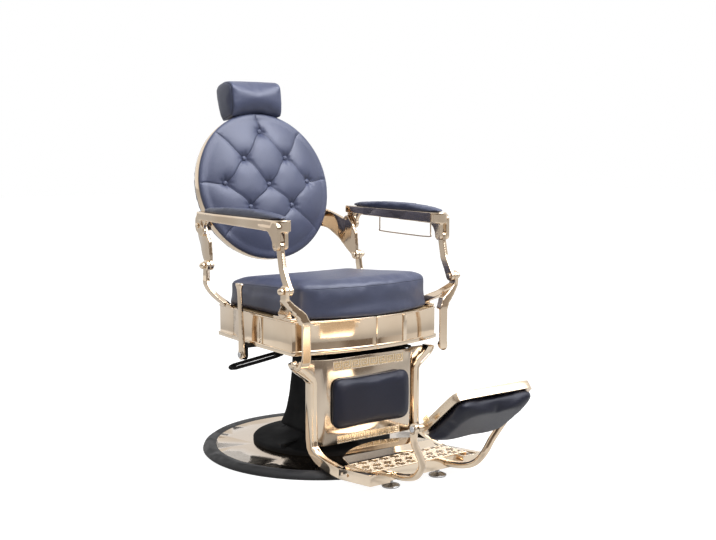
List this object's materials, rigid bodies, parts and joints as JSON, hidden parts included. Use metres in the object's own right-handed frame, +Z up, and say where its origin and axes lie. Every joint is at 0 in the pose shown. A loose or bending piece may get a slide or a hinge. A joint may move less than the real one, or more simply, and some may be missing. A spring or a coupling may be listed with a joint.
{
  "type": "barber chair",
  "caption": "Hydraulic barber chair with a round tufted reclining back, linked arms, headrest, footrest and flip-over leg pad.",
  "frame": {"origin": "middle of the round base on the floor", "axes": "+Z up along the lift, -Y the way the sitter faces, +X the sitter's left"},
  "size_m": [0.7199, 1.2506, 1.1136],
  "materials": {
    "metal": "polished champagne gold plating on cast and pressed metal",
    "black": "satin black powder coat",
    "rubber": "matt black rubber",
    "steel": "machined steel",
    "wood": "bare plywood",
    "leather": "slate blue upholstery leather with a soft sheen",
    "navy": "navy upholstery leather with a soft sheen"
  },
  "bodies": {
    "base": {"base_rim": "rubber", "base_plate": "steel", "base_disc": "metal", "foot_flange": "black", "column_cover": "black", "pump_sleeve": "steel", "sleeve_bush": "black"},
    "ram": {"ram": "steel"},
    "seat": {"pump_head": "black", "chassis": "black", "seat_board": "wood", "band_left": "metal", "band_right": "metal", "rear_cover": "metal", "band_straps": "metal", "seat_cushion": "leather", "front_bracket_left": "metal", "front_bracket_right": "metal", "rear_bracket_left": "metal", "rear_bracket_right": "metal", "elbow_pins": "metal", "rear_pins": "metal", "lever_bracket": "black", "lever_pins": "steel", "footrest_panel": "metal", "footrest_post_left": "metal", "footrest_post_right": "metal", "calf_pad": "navy", "footplate": "metal", "foot_glides": "steel", "swan_neck_left": "metal", "swan_neck_right": "metal", "tray_pins": "steel"},
    "back": {"back_shell": "metal", "back_cushion": "leather", "back_buttons": "leather", "horn_left": "metal", "horn_right": "metal", "horn_pins": "metal", "headrest_socket": "metal"},
    "headrest": {"headrest_bar": "metal", "headrest_pillow": "leather"},
    "post_left": {"post_left": "metal"},
    "post_right": {"post_right": "metal"},
    "arm_left": {"arm_rail_left": "metal", "arm_pad_left": "leather", "arm_pin_left": "metal", "towel_rail": "metal"},
    "arm_right": {"arm_rail_right": "metal", "arm_pad_right": "leather", "arm_pin_right": "metal"},
    "pump_lever": {"pump_lever": "black"},
    "recline_lever": {"recline_lever": "metal"},
    "leg_pad": {"tray_frame": "metal", "tray_pad": "navy"}
  },
  "joints": [
    {"name": "seat_lift", "type": "slide", "parent": "base", "child": "ram", "axis": [0, 0, 1], "range_m": [0, 0.15]},
    {"name": "seat_swivel", "type": "hinge", "parent": "ram", "child": "seat", "pos_m": [0, 0, 0.298], "axis": [0, 0, 1], "continuous": true},
    {"name": "back_recline", "type": "hinge", "parent": "seat", "child": "back", "pos_m": [0, 0.195, 0.554], "axis": [-1, 0, 0], "range_deg": [0, 45]},
    {"name": "post_left_swing", "type": "hinge", "parent": "seat", "child": "post_left", "pos_m": [0.284, -0.264, 0.527], "axis": [-1, 0, 0], "range_deg": [0, 45]},
    {"name": "post_right_swing", "type": "hinge", "parent": "seat", "child": "post_right", "pos_m": [-0.284, -0.264, 0.527], "axis": [-1, 0, 0], "range_deg": [0, 45]},
    {"name": "arm_left_level", "type": "hinge", "parent": "back", "child": "arm_left", "pos_m": [0.276, 0.235, 0.671], "axis": [-1, 0, 0], "range_deg": [-45, 0]},
    {"name": "arm_right_level", "type": "hinge", "parent": "back", "child": "arm_right", "pos_m": [-0.276, 0.235, 0.671], "axis": [-1, 0, 0], "range_deg": [-45, 0]},
    {"name": "headrest_slide", "type": "slide", "parent": "back", "child": "headrest", "axis": [0, 0.2419, 0.9703], "range_m": [0, 0.09]},
    {"name": "pump_stroke", "type": "hinge", "parent": "seat", "child": "pump_lever", "pos_m": [-0.096, 0, 0.3084], "axis": [-0.2924, -0.9563, 0], "range_deg": [0, 22], "stiffness_Nm_per_rad": 8, "springref_deg": -20.05},
    {"name": "recline_release", "type": "hinge", "parent": "seat", "child": "recline_lever", "pos_m": [-0.275, 0.003, 0.312], "axis": [-1, 0, 0], "range_deg": [0, 22], "stiffness_Nm_per_rad": 6, "springref_deg": -11.46},
    {"name": "leg_pad_flip", "type": "hinge", "parent": "seat", "child": "leg_pad", "pos_m": [0, -0.636, 0.21], "axis": [-1, 0, 0], "range_deg": [0, 140]}
  ],
  "couplings": [
    {"joint": "post_left_swing", "follows": "back_recline", "ratio": 1},
    {"joint": "post_right_swing", "follows": "back_recline", "ratio": 1},
    {"joint": "arm_left_level", "follows": "back_recline", "ratio": -1},
    {"joint": "arm_right_level", "follows": "back_recline", "ratio": -1}
  ]
}
